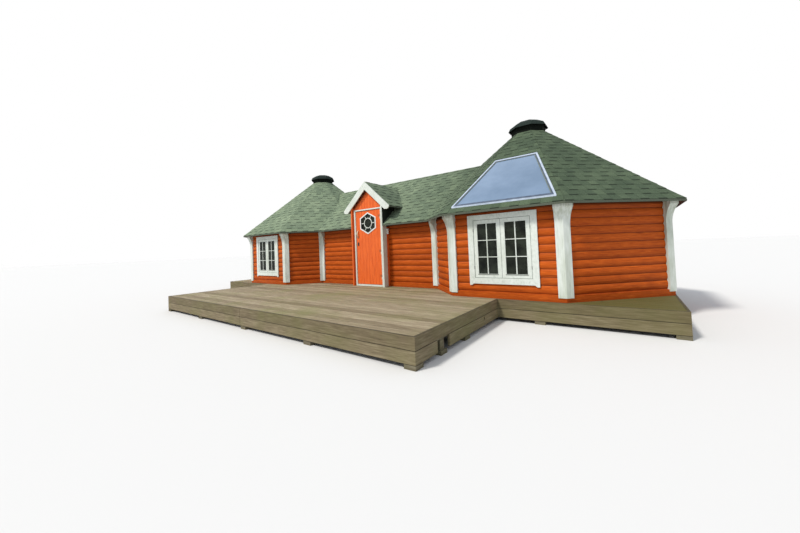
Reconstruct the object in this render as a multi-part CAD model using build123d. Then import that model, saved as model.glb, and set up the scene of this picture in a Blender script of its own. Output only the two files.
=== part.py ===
"""Kota cabin: two octagonal log huts joined by a link room, on timber decks."""
from build123d import *
import math
import os

# Octagonal huts
facet = 1850.0             # length of one side of each octagon, at the log joints
hut_offset = 3555.0        # from the middle of the link to each hut's axis
link_half_width = 1495.0   # from the long axis to the link's front and back walls
wall_thick = 42.0          # log panel, from the joints inwards
log_bulge = 14.0           # how far each log's round face stands out
log_pitch = 127.5
first_log = 117.0          # height of the lowest joint above the deck
base_board_height = 100.0
base_board_thick = 28.0

# Corner posts and their curved corbels
post_leg = 98.0            # width of a post board along each wall
post_out = 44.0            # how far the boards stand out from the log joints
post_foot = 68.0
corbel_height = 1150.0     # where the corbel starts to swell out of the post
corbel_rise = 288.0        # from there to its lip
corbel_reach = 84.0

# Roofs
roof_board = 30.0          # measured upright
overhang = 222.0
eave_height = 1492.0       # top of the roof's edge above the deck
hut_pitch = 41.2
link_pitch = 38.95
panel_gap = 0.6
seam = 0.3                 # between pieces that are fitted together

# Smoke hats
collar_radius = 360.0
collar_thick = 20.0
hat_rim_radius = 425.0
hat_shoulder_radius = 385.0
hat_shoulder = 78.0        # the shoulder above the rim
hat_top_radius = 235.0
hat_lift = 122.0           # the rim's foot above the roof where the collar comes through
hat_rise = 165.0
hat_skin = 16.0

# Windows
light_half = 477.0         # half the clear width inside the casing
light_low = 343.0          # clear height inside the casing, above the deck
light_high = 1348.0
casing_side = 100.0
casing_top = 86.0
casing_thick = 24.0
jamb_thick = 26.0          # the casing laps over the jamb by this
sash_stile = 68.0
sash_thick = 38.0
sash_gap = 3.0
glass_thick = 16.0
horn_drop = 27.0           # the side casings run on below the bottom one
horn_width = 42.0

# Skylight
skylight_low = 152.0       # up the slope from the eave to its lower edge
skylight_high = 1655.0
skylight_margin = 105.0    # from the hips, on average
skylight_shift = 22.0      # its middle to the right of the hut's
skylight_bar = 42.0
skylight_proud = 30.0

# Entrance
porch_centre = 49.0
porch_half = 493.0         # to the inner face of each cheek
cheek_thick = 32.0
door_recess = 67.0         # from the cheeks' front edges to the door
porch_roof_half = 761.0
porch_head = 29.0          # the porch's eave below the top of the door frame
porch_pitch = 42.0
bargeboard_width = 148.0
bargeboard_thick = 26.0
bargeboard_drop = 65.0     # its level foot below the porch's eave
bargeboard_nose = 105.0    # length of the rounding at its end
door_side = 85.0           # from the leaf's edge to the cheek beside it
door_height = 1850.0
door_thick = 40.0
door_gap = 8.0             # around the leaf
threshold_height = 38.0
door_head = 50.0           # frame over the door's opening
door_casing = 42.0
casing_head = 30.0
casing_proud = 20.0
hex_half_width = 262.0
hex_half_height = 275.0
hex_frame = 42.0
hex_drop = 323.0           # from the top of the leaf to the window's middle
hex_proud = 12.0
hinge_radius = 8.0
hinge_length = 110.0
hinge_inset = 6.0          # hinge axis from the leaf's edge
hinge_end = 190.0          # outer hinges from the leaf's ends
hinge_low = 130.0          # middle hinge below the leaf's middle
handle_inset = 59.0        # from the leaf's edge
handle_height = 1310.0     # middle of the grip above the deck
handle_up = 104.0
handle_down = 103.0
handle_foot = 26.0         # height of each of its feet
handle_reach = 52.0
handle_thick = 18.0
handle_wide = 22.0
lock_drop = 252.0          # its middle below the grip's
lock_half = 45.0
trim_board = 40.0
trim_thick = 20.0
trim_side = 8.0
trim_return = 150.0        # board on the cheek's outer side
lamp_gap = 4.0             # behind the trim's board on the cheek
lamp_wide = 42.0
lamp_z = (1268.0, 1400.0)
lamp_proud = 45.0

# Decks
deck_height = 350.0
deck_board = 28.0
terrace_left = -3530.0
terrace_right = 3470.0
terrace_front = 4810.0
platform_front = 79.0      # platform beyond the wall joints, front and back
platform_side = 42.0
skirt_board = 145.0
skirt_thick = 28.0
skirt_joint = 5.0
joist_deep = 145.0
joist_thick = 45.0
post_side = 95.0
pad_side = 150.0
pad_deep = 50.0
front_butt = -128.0        # where two lengths of the front skirt meet
butt_gap = 7.0
broken_from = 4350.0       # lower right skirt board is missing between these
broken_to = 4055.0
knot_hole = 38.0
knot_place = (2923.0, 191.0)

os.makedirs("parts", exist_ok=True)

half_angle = math.radians(22.5)
apothem = facet / 2 / math.tan(half_angle)
hut_rise = math.tan(math.radians(hut_pitch))
link_rise = math.tan(math.radians(link_pitch))
porch_rise = math.tan(math.radians(porch_pitch))
hut_edge = apothem + overhang
link_edge = link_half_width + overhang
hut_apex = eave_height + hut_rise * hut_edge
ridge_height = eave_height + link_rise * link_edge
collar_apothem = collar_radius * math.cos(half_angle)
hat_rim_height = hut_apex - hut_rise * collar_apothem + hat_lift
leaf_low = threshold_height + door_gap
leaf_high = leaf_low + door_height
hex_centre = leaf_high - hex_drop
door_half = porch_half - door_side
clear_half = door_half + door_gap
clear_high = leaf_high + door_gap
frame_high = clear_high + door_head
porch_eave_height = frame_high - porch_head
y_shift = (terrace_front - hut_edge) / 2


def write(name, shapes):
    """Writes one node, moved to its place in the part's own frame."""
    shapes = shapes if isinstance(shapes, list) else [shapes]
    solids = [Pos(0, y_shift, deck_height) * solid for shape in shapes for solid in shape.solids()]
    export_step(solids[0] if len(solids) == 1 else Compound(children=solids), f"parts/{name}.step")


def block(x, y, z):
    """Box from its low and high limits along each axis."""
    size = (x[1] - x[0], y[1] - y[0], z[1] - z[0])
    middle = (sum(x) / 2, sum(y) / 2, sum(z) / 2)
    return Pos(*middle) * Box(*size)


def bar(outline, start, end):
    """Extrudes an outline of (y, z) lines and arcs along X."""
    face = make_face([Plane.YZ * edge for edge in outline])
    return Pos(start, 0, 0) * extrude(face, amount=end - start, dir=(1, 0, 0))


def turn(angle):
    """Turns a piece built for a wall that faces the front so that it faces angle instead."""
    return Rot(0, 0, angle + 90)


def under_plane(height, rise):
    """Large block above a roof's underside, for a wall at y = 0 that faces -Y."""
    big = 6000.0
    points = [(-big, height - rise * big), (big, height + rise * big), (big, big * 3), (-big, big * 3)]
    face = make_face(Plane.YZ * Polyline(*points, close=True))
    return Pos(-big, 0, 0) * extrude(face, amount=2 * big, dir=(1, 0, 0))


hut_seat = hut_apex - roof_board - hut_rise * apothem
link_seat = ridge_height - roof_board - link_rise * link_half_width


def log_wall(start, end, seat, rise):
    """Log panel between two posts, its joints on y = 0, cut to the roof's underside."""
    courses = math.ceil((seat + rise * wall_thick - first_log) / log_pitch)
    top = first_log + courses * log_pitch
    outline = [Line((wall_thick, 0), (0, 0)), Line((0, 0), (0, first_log))]
    for course in range(courses):
        low = first_log + course * log_pitch
        outline.append(ThreePointArc((0, low), (-log_bulge, low + log_pitch / 2), (0, low + log_pitch)))
    outline.append(Line((0, top), (wall_thick, top)))
    outline.append(Line((wall_thick, top), (wall_thick, 0)))
    return bar(outline, start, end) - under_plane(seat, rise)


def half_space(angle, side):
    """Everything on one side of an upright plane through the origin that runs along angle."""
    big = 4000.0
    box = block((-big, big), (0, side * big) if side > 0 else (side * big, 0), (-big, 2 * big))
    return Rot(0, 0, angle) * box


def polygon(points):
    return [Line(points[i - 1], points[i]) for i in range(len(points))]


def post_leg_solid(seat, rise, direction):
    """One board of a post, from the corner at x = 0 towards direction, lapped over the base board."""
    reach = 400.0
    lap_back = -base_board_thick - seam
    lap_top = base_board_height + seam
    board = polygon([
        (wall_thick, 0),
        (seam, 0),
        (seam, lap_top),
        (lap_back, lap_top),
        (lap_back, post_foot),
        (-post_out, post_foot),
        (-post_out, 2500),
        (wall_thick, 2500),
    ])
    start, end = (-reach, post_leg) if direction > 0 else (-post_leg, reach)
    solid = bar(board, start, end)
    back = -log_bulge - seam
    foot = corbel_height
    lip = foot + corbel_rise
    tip = -post_out - corbel_reach
    bow = (corbel_rise ** 2 + corbel_reach ** 2) / (2 * corbel_reach)
    halfway = bow - math.sqrt(bow ** 2 - (corbel_rise / 2) ** 2)
    corbel = [
        Line((back, foot), (-post_out, foot)),
        ThreePointArc((-post_out, foot), (-post_out - halfway, foot + corbel_rise / 2), (tip, lip)),
        Line((tip, lip), (tip, 2500)),
        Line((tip, 2500), (back, 2500)),
        Line((back, 2500), (back, foot)),
    ]
    solid += bar(corbel, start, end)
    return solid - under_plane(seat, rise)


def corner_post(x, y, left, right):
    """Post where two walls meet. left and right hold each wall's facing angle, seat and rise."""
    mitre = (left[0] + right[0]) / 2
    first = turn(left[0]) * post_leg_solid(left[1], left[2], -1)
    second = turn(right[0]) * post_leg_solid(right[1], right[2], 1)
    first = first & half_space(mitre, -1)
    second = second & half_space(mitre, 1)
    return Pos(x, y, 0) * (first + second)


def base_board(start, end, lap_start, lap_end):
    """Board along a wall's foot, its ends mitred outwards or inwards by the laps."""
    start, end = start + seam, end - seam
    front = -base_board_thick
    points = [(start, 0), (end, 0), (end + lap_end, front), (start - lap_start, front)]
    return extrude(make_face(Polyline(*points, close=True)), amount=base_board_height, dir=(0, 0, 1))


def inset(points, amount):
    """Moves each side of a convex plan outline inwards."""
    count = len(points)
    area = sum(points[i][0] * points[(i + 1) % count][1] - points[(i + 1) % count][0] * points[i][1]
               for i in range(count))
    turn_sign = 1 if area > 0 else -1
    lines = []
    for i in range(count):
        (x1, y1), (x2, y2) = points[i], points[(i + 1) % count]
        length = math.hypot(x2 - x1, y2 - y1)
        nx, ny = -(y2 - y1) / length * turn_sign, (x2 - x1) / length * turn_sign
        lines.append((nx, ny, nx * x1 + ny * y1 + amount))
    result = []
    for i in range(count):
        a1, b1, c1 = lines[i - 1]
        a2, b2, c2 = lines[i]
        det = a1 * b2 - a2 * b1
        result.append(((c1 * b2 - c2 * b1) / det, (a1 * c2 - a2 * c1) / det))
    return result


def hut_top(hut, facing):
    """Height of a hut roof's panel that faces an angle."""
    nx, ny = math.cos(math.radians(facing)), math.sin(math.radians(facing))
    return lambda x, y: hut_apex - hut_rise * ((x - hut) * nx + y * ny)


def link_top(side):
    return lambda x, y: ridge_height - link_rise * y * side


def mirrored(solids):
    """The left hut's copy of what was built for the right hut."""
    return [mirror(solid, about=Plane.YZ) for solid in solids]


def placed(hut, facing, solid):
    """Takes a solid built on a wall's own middle to that wall of the hut."""
    angle = math.radians(facing)
    return Pos(hut + apothem * math.cos(angle), apothem * math.sin(angle), 0) * turn(facing) * solid


# Log walls
half = facet / 2
butt = half - post_leg - seam
junction = apothem * math.sqrt(2) - link_half_width        # from a hut's axis to the link's corner
inner_end = (junction - half) * math.sqrt(2) - half        # where the link meets the wall, from its middle
link_end = hut_offset - junction
porch_left = porch_centre - porch_half - cheek_thick
porch_right = porch_centre + porch_half + cheek_thick
jamb_half = light_half + jamb_thick
whole_wall = log_wall(-butt, butt, hut_seat, hut_rise)
window_hole = block((-jamb_half, jamb_half), (-200, 200), (light_low - jamb_thick, light_high + jamb_thick))
short_front = log_wall(-inner_end + post_leg + seam, butt, hut_seat, hut_rise)
short_back = log_wall(-butt, inner_end - post_leg - seam, hut_seat, hut_rise)

hut_walls = {
    "front_wall": [placed(hut_offset, -90, whole_wall - window_hole)],
    "front_corner_wall": [placed(hut_offset, -45, whole_wall)],
    "end_wall": [placed(hut_offset, 0, whole_wall)],
    "back_walls": [
        placed(hut_offset, 45, whole_wall),
        placed(hut_offset, 90, whole_wall),
        placed(hut_offset, 135, short_back),
    ],
    "inner_front_wall": [placed(hut_offset, -135, short_front)],
}
for name, solids in hut_walls.items():
    write(f"right_{name}", solids)
    write(f"left_{name}", mirrored(solids))

link_butt = link_end - post_leg - seam
right_of_door = log_wall(porch_right, link_butt, link_seat, link_rise)
left_of_door = log_wall(-link_butt, porch_left, link_seat, link_rise)
behind = log_wall(-link_butt, link_butt, link_seat, link_rise)
write("link_front_wall_right", Pos(0, -link_half_width, 0) * right_of_door)
write("link_front_wall_left", Pos(0, -link_half_width, 0) * left_of_door)
write("link_back_wall", Pos(0, link_half_width, 0) * turn(90) * behind)

# Posts at the corners of each hut, and plain ones where the link joins it
posts = []
for step in range(6):
    angle = -112.5 + 45 * step
    radius = apothem / math.cos(half_angle)
    x = hut_offset + radius * math.cos(math.radians(angle))
    y = radius * math.sin(math.radians(angle))
    posts.append(corner_post(x, y, (angle - 22.5, hut_seat, hut_rise), (angle + 22.5, hut_seat, hut_rise)))
link_side = (-90, link_seat, link_rise)
hut_side = (-135, hut_seat, hut_rise)
posts.append(corner_post(link_end, -link_half_width, link_side, hut_side))
posts.append(mirror(posts[-1], about=Plane.XZ))
write("right_corner_posts", posts)
write("left_corner_posts", mirrored(posts))

# Base boards along the foot of every wall
lap = base_board_thick * math.tan(half_angle)
whole_board = base_board(-half, half, lap, lap)
hut_boards = [placed(hut_offset, facing, whole_board) for facing in (-90, -45, 0, 45, 90)]
hut_boards.append(placed(hut_offset, -135, base_board(-inner_end, half, -lap, lap)))
hut_boards.append(placed(hut_offset, 135, base_board(-half, inner_end, lap, -lap)))
link_boards = [
    Pos(0, -link_half_width, 0) * base_board(porch_right + trim_side, link_end, 0, -lap),
    Pos(0, -link_half_width, 0) * base_board(-link_end, porch_left, -lap, 0),
    Pos(0, link_half_width, 0) * turn(90) * base_board(-link_end, link_end, -lap, -lap),
]
write("base_boards", hut_boards + mirrored(hut_boards) + link_boards)


# Windows, built on the front wall's own middle
def ring(x, z, y, width):
    """Rectangular frame: limits along x and z, its depth along y and its member width."""
    return block(x, y, z) - block((x[0] + width, x[1] - width), (-500, 500), (z[0] + width, z[1] - width))


casing_front = -log_bulge - casing_thick
room_side = wall_thick + 12
casing_low = light_low - casing_side
casing_half = light_half + casing_side
horn = casing_half - horn_width
casing_outline = [
    (casing_half, light_high + casing_top),
    (casing_half, casing_low - horn_drop),
    (horn, casing_low - horn_drop),
    (horn - horn_drop, casing_low),
]
casing_outline += [(-x, z) for x, z in reversed(casing_outline)]
casing = make_face(Plane.XZ * Polyline(*casing_outline, close=True))
casing = Pos(0, -log_bulge, 0) * extrude(casing, amount=casing_thick, dir=(0, -1, 0))
casing += block(
    (-jamb_half, jamb_half),
    (-log_bulge, room_side),
    (light_low - jamb_thick, light_high + jamb_thick),
)
casing -= block((-light_half, light_half), (-500, 500), (light_low, light_high))
sash_front = casing_front + 8
sash_back = sash_front + sash_thick
casing += ring((-light_half, light_half), (light_low, light_high), (sash_back, room_side), sash_gap + 12)
sash_z = (light_low + sash_gap, light_high - sash_gap)
sash_far = light_half - sash_gap
sashes = [
    ring((sash_gap / 2, sash_far), sash_z, (sash_front, sash_back), sash_stile),
    ring((-sash_far, -sash_gap / 2), sash_z, (sash_front, sash_back), sash_stile),
]
pane_x = (sash_gap / 2 + sash_stile, sash_far - sash_stile)
pane_y = (sash_front + 14, sash_front + 14 + glass_thick)
pane_z = (sash_z[0] + sash_stile, sash_z[1] - sash_stile)
panes = [block(pane_x, pane_y, pane_z), block((-pane_x[1], -pane_x[0]), pane_y, pane_z)]
for name, solids in {"window_frames": [casing], "window_sashes": sashes, "window_glass": panes}.items():
    fitted = [placed(hut_offset, -90, solid) for solid in solids]
    write(name, fitted + mirrored(fitted))


# Roofs of the huts. The link's ridge and valleys run into the roof panels that face it
def prism(points, top, low, high):
    """Sloping prism over a plan, between two heights above the roof's top surface."""
    face = make_face(Polyline(*[(x, y, top(x, y) + high) for x, y in points], close=True))
    return extrude(face, amount=high - low, dir=(0, 0, -1))


def hut_panel(outline, facing):
    return prism(inset(outline, panel_gap / 2), hut_top(hut_offset, facing), -roof_board, 0)


def hip_point(radius, angle):
    return hut_offset + radius * math.cos(math.radians(angle)), radius * math.sin(math.radians(angle))


tan_half = math.tan(half_angle)
eave_radius = hut_edge / math.cos(half_angle)
crossing = (hut_apex - ridge_height) / (hut_rise - link_rise * tan_half)
valley_top = (hut_offset - (hut_apex - ridge_height) / hut_rise, 0.0)
valley_middle = (hut_offset - crossing, -crossing * tan_half)
valley_foot = (hut_offset - hut_edge * math.sqrt(2) + link_edge, -link_edge)
inner_hip = hip_point(collar_radius, -157.5)

roof_panels = []
for facing in (-90, -45, 0, 45, 90):
    corners = [(eave_radius, -22.5), (eave_radius, 22.5), (collar_radius, 22.5), (collar_radius, -22.5)]
    roof_panels.append(hut_panel([hip_point(radius, facing + angle) for radius, angle in corners], facing))
beside_link = [
    hip_point(collar_radius, -112.5),
    inner_hip,
    valley_middle,
    valley_foot,
    hip_point(eave_radius, -112.5),
]
over_link = [(hut_offset - collar_apothem, 0), valley_top, valley_middle, inner_hip]
for outline, facing in ((beside_link, -135), (over_link, 180)):
    panel = hut_panel(outline, facing)
    roof_panels += [panel, mirror(panel, about=Plane.XZ)]
write("left_roof", mirrored(roof_panels))

# Skylight in the right hut's front roof panel
front_top = hut_top(hut_offset, -90)
skylight_plan = []
for distance, side in ((skylight_low, -1), (skylight_low, 1), (skylight_high, 1), (skylight_high, -1)):
    run = hut_edge - distance * math.cos(math.atan(hut_rise))
    reach = run * tan_half - skylight_margin
    skylight_plan.append((hut_offset + skylight_shift + side * reach, -run))
skylight_inner = inset(skylight_plan, skylight_bar)
skylight_hole = inset(skylight_plan, skylight_bar + 20)
roof_panels[0] = roof_panels[0] - prism(skylight_hole, front_top, -200, 200)
write("right_roof", roof_panels)
skylight_bars = prism(skylight_plan, front_top, 0, skylight_proud)
skylight_bars -= prism(skylight_inner, front_top, -50, 200)
write("skylight_frame", skylight_bars)
write("skylight_glass", prism(skylight_inner, front_top, 0, glass_thick))

# Roof of the link, notched for the entrance
notch = -(ridge_height - porch_eave_height) / link_rise + 40
middle_x, middle_y = valley_middle
foot_x = valley_foot[0]
front_outlines = [
    [(-middle_x, 0), (-middle_x, middle_y), (-foot_x, -link_edge), (porch_left, -link_edge), (porch_left, 0)],
    [(porch_right, 0), (porch_right, -link_edge), (foot_x, -link_edge), (middle_x, middle_y), (middle_x, 0)],
    [(porch_left, 0), (porch_left, notch), (porch_right, notch), (porch_right, 0)],
    [(middle_x, 0), (middle_x, middle_y), valley_top],
    [(-middle_x, 0), (-middle_x, middle_y), (-valley_top[0], 0)],
]
back_outlines = [
    [(-middle_x, 0), (-middle_x, -middle_y), (-foot_x, link_edge), (foot_x, link_edge),
     (middle_x, -middle_y), (middle_x, 0)],
    [(middle_x, 0), (middle_x, -middle_y), valley_top],
    [(-middle_x, 0), (-middle_x, -middle_y), (-valley_top[0], 0)],
]
slopes = [prism(inset(plan, panel_gap / 2), link_top(-1), -roof_board, 0) for plan in front_outlines]
slopes += [prism(inset(plan, panel_gap / 2), link_top(1), -roof_board, 0) for plan in back_outlines]
write("link_roof", slopes)


# Smoke hats and the collars that carry them
def octagon(radius, height):
    points = [hip_point(radius, 22.5 + 45 * step) for step in range(8)]
    return make_face(Polyline(*[(x, y, height) for x, y in points], close=True))


ceiling = hat_rim_height + 36
hat_high = hat_rim_height + hat_rise
hollow_radius = hat_rim_radius - hat_skin
hat_middle = octagon(hat_shoulder_radius, hat_rim_height + hat_shoulder)
hat_low = octagon(hat_rim_radius, hat_rim_height)
hat = loft([hat_low, hat_middle, octagon(hat_top_radius, hat_high)], ruled=True)
hat -= loft([octagon(hollow_radius, hat_rim_height), octagon(collar_radius + 6, ceiling)], ruled=True)
collar_foot = hut_apex - hut_rise * collar_apothem - roof_board - 20
collar_fit = collar_radius - panel_gap
collar_rise = ceiling - collar_foot
collar = extrude(octagon(collar_fit, collar_foot), amount=collar_rise, dir=(0, 0, 1))
collar -= extrude(octagon(collar_fit - collar_thick, collar_foot), amount=collar_rise, dir=(0, 0, 1))
write("smoke_hats", [hat] + mirrored([hat]))
write("smoke_collars", [collar] + mirrored([collar]))

# Entrance, its door set back between two cheeks
porch_ridge = porch_eave_height + porch_rise * porch_roof_half
porch_front = -link_edge
room_face = -link_half_width + wall_thick
big = 4000.0


def above_porch(drop):
    """Everything above the porch roof's top surface lowered by a drop."""
    peak = porch_ridge - drop
    points = [
        (porch_centre - big, peak - porch_rise * big),
        (porch_centre, peak),
        (porch_centre + big, peak - porch_rise * big),
        (porch_centre + big, big * 3),
        (porch_centre - big, big * 3),
    ]
    face = make_face(Plane.XZ * Polyline(*points, close=True))
    return Pos(0, big, 0) * extrude(face, amount=2 * big, dir=(0, -1, 0))


def under_link(drop):
    """Everything under the link roof's front slope lowered by a drop."""
    foot = ridge_height - drop
    points = [(-big, foot - link_rise * big), (0, foot), (0, -big), (-big, -2 * big)]
    face = make_face(Plane.YZ * Polyline(*points, close=True))
    return Pos(-big, 0, 0) * extrude(face, amount=2 * big, dir=(1, 0, 0))


meet = -(ridge_height - porch_ridge) / link_rise
cheeks = []
for low in (porch_left, porch_right - cheek_thick):
    side = (low, low + cheek_thick)
    cheek = block(side, (porch_front, room_face), (0, porch_ridge))
    cheek += block(side, (room_face, notch), (0, porch_ridge)) - under_link(roof_board)
    cheeks.append(cheek - above_porch(roof_board))
write("porch_cheeks", cheeks)

over = prism(
    [(porch_centre + panel_gap / 2, porch_front), (porch_centre + porch_roof_half, porch_front),
     (porch_centre + porch_roof_half, meet), (porch_centre + panel_gap / 2, meet)],
    lambda x, y: porch_ridge - porch_rise * (x - porch_centre), -roof_board, 0,
)
over -= under_link(0)
across = Plane.YZ.offset(porch_centre)
write("porch_roof", [over, mirror(over, about=across)])

board_deep = bargeboard_width / math.cos(math.radians(porch_pitch))
end_x = porch_centre + porch_roof_half
middle_x = porch_centre + panel_gap / 2
foot_z = porch_eave_height - bargeboard_drop
foot_x = porch_centre + (porch_ridge - board_deep - foot_z) / porch_rise
corner = (end_x - 10, porch_eave_height + 10 * porch_rise)
bargeboard = make_face([Plane.XZ * edge for edge in [
    Line((middle_x, porch_ridge), corner),
    ThreePointArc(corner, (end_x - 0.25 * bargeboard_nose, foot_z + 26), (end_x - bargeboard_nose, foot_z)),
    Line((end_x - bargeboard_nose, foot_z), (foot_x, foot_z)),
    Line((foot_x, foot_z), (middle_x, porch_ridge - board_deep)),
    Line((middle_x, porch_ridge - board_deep), (middle_x, porch_ridge)),
]])
bargeboard = Pos(0, porch_front, 0) * extrude(bargeboard, amount=bargeboard_thick, dir=(0, -1, 0))
write("porch_bargeboards", [bargeboard, mirror(bargeboard, about=across)])

trim_y = (porch_front - trim_thick, porch_front)
trim = block((porch_right - trim_board, porch_right), trim_y, (0, porch_ridge))
trim -= above_porch(board_deep)
side_trim = block(
    (porch_right, porch_right + trim_side),
    (porch_front - trim_thick, porch_front - trim_thick + trim_return),
    (0, porch_ridge),
)
side_trim -= Pos(0, -link_half_width, 0) * under_plane(link_seat, link_rise)
write("porch_trim", trim + side_trim)

# Door frame with its casing, stop and threshold, and the boarded gable over it
frame_front = porch_front + door_recess
leaf_back = frame_front + door_thick
frame_back = leaf_back + 55
inner_left = porch_centre - porch_half
inner_right = porch_centre + porch_half
door_frame = block((inner_left, inner_right), (frame_front, frame_back), (0, frame_high))
door_frame += block(
    (porch_centre - clear_half - door_casing, porch_centre + clear_half + door_casing),
    (frame_front - casing_proud, frame_front),
    (0, clear_high + casing_head),
)
door_frame -= block(
    (porch_centre - clear_half, porch_centre + clear_half),
    (2 * porch_front, leaf_back + 7),
    (threshold_height, clear_high),
)
door_frame -= block(
    (porch_centre - clear_half + 20, porch_centre + clear_half - 20),
    (2 * porch_front, 0),
    (threshold_height, clear_high - 20),
)
hinge_x = porch_centre + door_half - hinge_inset
hinge_y = frame_front - hinge_radius - seam
hinge_heights = (leaf_low + hinge_end, leaf_low + door_height / 2 - hinge_low, leaf_high - hinge_end)
knuckle = hinge_length / 2
for height in hinge_heights:
    door_frame += Pos(hinge_x, hinge_y, height - knuckle / 2) * Cylinder(hinge_radius, knuckle)
    plate_x = (hinge_x, porch_centre + clear_half)
    door_frame += block(plate_x, (hinge_y - 4, hinge_y + 4), (height - knuckle, height))
write("door_frame", door_frame)
gable = block((inner_left, inner_right), (frame_front, frame_front + 30), (frame_high, porch_ridge))
write("porch_gable", gable - above_porch(roof_board))


# Door leaf with its six-sided window
def hexagon(shrink, start, end):
    """Six-sided prism standing on a point, between two depths."""
    points = []
    for x, z in ((0, 1), (1, 0.5), (1, -0.5), (0, -1), (-1, -0.5), (-1, 0.5)):
        points.append((porch_centre + hex_half_width * x, hex_centre + hex_half_height * z))
    face = make_face(Plane.XZ * Polyline(*inset(points, shrink), close=True))
    return Pos(0, start, 0) * extrude(face, amount=end - start, dir=(0, 1, 0))


leaf_x = (porch_centre - door_half, porch_centre + door_half)
leaf = block(leaf_x, (frame_front, leaf_back), (leaf_low, leaf_high))
write("door_leaf", leaf - hexagon(20, frame_front - 50, leaf_back + 50))
hex_ring = hexagon(0, frame_front - hex_proud, frame_front)
hex_ring += hexagon(20, frame_front, leaf_back)
hex_ring += hexagon(0, leaf_back, leaf_back + hex_proud)
write("door_window_frame", hex_ring - hexagon(hex_frame, frame_front - 100, leaf_back + 100))
write("door_window_glass", hexagon(hex_frame, frame_front + 12, frame_front + 12 + glass_thick))

hinges = []
for height in hinge_heights:
    barrel = Pos(hinge_x, hinge_y, height + knuckle / 2 + seam) * Cylinder(hinge_radius, knuckle)
    strap_z = (height + seam, height + seam + knuckle)
    hinges.append(barrel + block((hinge_x - 60, hinge_x), (frame_front - 4, frame_front), strap_z))
write("door_hinges", hinges)

outer_low = (frame_front, handle_height - handle_down)
outer_high = (frame_front, handle_height + handle_up)
inner_low = (frame_front, handle_height - handle_down + handle_foot)
inner_high = (frame_front, handle_height + handle_up - handle_foot)
outer_middle = (frame_front - handle_reach, handle_height)
inner_middle = (frame_front - handle_reach + handle_thick, handle_height)
pull = make_face([Plane.YZ * edge for edge in [
    ThreePointArc(outer_low, outer_middle, outer_high),
    Line(outer_high, inner_high),
    ThreePointArc(inner_high, inner_middle, inner_low),
    Line(inner_low, outer_low),
]])
handle_place = porch_centre - door_half + handle_inset
grip = extrude(pull, amount=handle_wide, dir=(1, 0, 0))
write("door_handle", Pos(handle_place - handle_wide / 2, 0, 0) * grip)
lock_x = (handle_place - 20, handle_place + 20)
lock_height = handle_height - lock_drop
lock = block(lock_x, (frame_front - 6, frame_front), (lock_height - lock_half, lock_height + lock_half))
lock += Pos(handle_place, frame_front - 9, lock_height) * Rot(90, 0, 0) * Cylinder(11, 10)
write("door_lock", lock)

lamp_front = porch_front - trim_thick + trim_return + lamp_gap
lamp_y = (lamp_front, lamp_front + lamp_wide)
write("wall_lamp", block((porch_right, porch_right + lamp_proud), lamp_y, lamp_z))

# Decks
platform_y = apothem + platform_front
platform_low = 2 * hut_offset - (hut_offset + apothem + platform_side)
platform_high = hut_offset + apothem + platform_side
link_lip = link_half_width + platform_side
slab = (-deck_board, 0)
behind_skirt = platform_y - skirt_thick
inner_x = platform_low + skirt_thick
right_slab = block((inner_x, platform_high - skirt_thick), (-behind_skirt, behind_skirt), slab)
link_slab = block((-inner_x, inner_x), (-link_lip, link_lip - skirt_thick), slab)
write("platform_deck", right_slab + link_slab + mirror(right_slab, about=Plane.YZ))
left_x = terrace_left + skirt_thick
right_x = terrace_right - skirt_thick
front_y = -terrace_front + skirt_thick
terrace = block((left_x, right_x), (front_y, -behind_skirt), slab)
terrace += block((-inner_x, inner_x), (-behind_skirt, -link_lip), slab)
write("terrace_deck", terrace)


def joist_places(x, count):
    """Middle of each joist, from rim to rim."""
    reach = x[1] - x[0] - joist_thick
    return [x[0] + joist_thick / 2 + reach * step / count for step in range(count + 1)]


def joists(x, y, count):
    """Rim and joists under a rectangle of deck, the joists running front to back."""
    deep = (-deck_board - joist_deep, -deck_board)
    frame = block((x[0], x[1]), (y[0], y[0] + joist_thick), deep)
    frame += block((x[0], x[1]), (y[1] - joist_thick, y[1]), deep)
    for middle in joist_places(x, count):
        frame += block((middle - joist_thick / 2, middle + joist_thick / 2), y, deep)
    return frame


platform_x = (inner_x, platform_high - skirt_thick)
terrace_x = (left_x, right_x)
right_joists = joists(platform_x, (-behind_skirt, behind_skirt), 8)
link_joists = joists((-inner_x + seam, inner_x - seam), (-link_lip, link_lip - skirt_thick), 4)
write("platform_joists", [right_joists, link_joists, mirror(right_joists, about=Plane.YZ)])
terrace_joists = joists(terrace_x, (front_y, -behind_skirt), 12)
bay_joists = joists((-inner_x + seam, inner_x - seam), (-behind_skirt + seam, -link_lip - seam), 4)
write("terrace_joists", [terrace_joists, bay_joists])


def skirts(x, y):
    """Two rows of board over a rectangle seen from above."""
    rows = [(-skirt_board, 0), (-2 * skirt_board - skirt_joint, -skirt_board - skirt_joint)]
    return [block(x, y, row) for row in rows]


front_depth = (-terrace_front, front_y)
terrace_skirts = skirts((terrace_left, front_butt - butt_gap / 2), front_depth)
terrace_skirts += skirts((front_butt + butt_gap / 2, terrace_right), front_depth)
terrace_skirts += skirts((terrace_left, left_x), (front_y + seam, -platform_y - seam))
upper, lower = skirts((right_x, terrace_right), (front_y + seam, -platform_y - seam))
hole_y, hole_z = knot_place
lower -= Pos(terrace_right, -hole_y, -hole_z) * Rot(0, 90, 0) * Cylinder(knot_hole / 2, 200)
lower -= block((0, terrace_right + skirt_thick), (-broken_from, -broken_to), (-deck_height, 0))
terrace_skirts += [upper] + lower.solids()
write("terrace_skirts", terrace_skirts)

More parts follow.
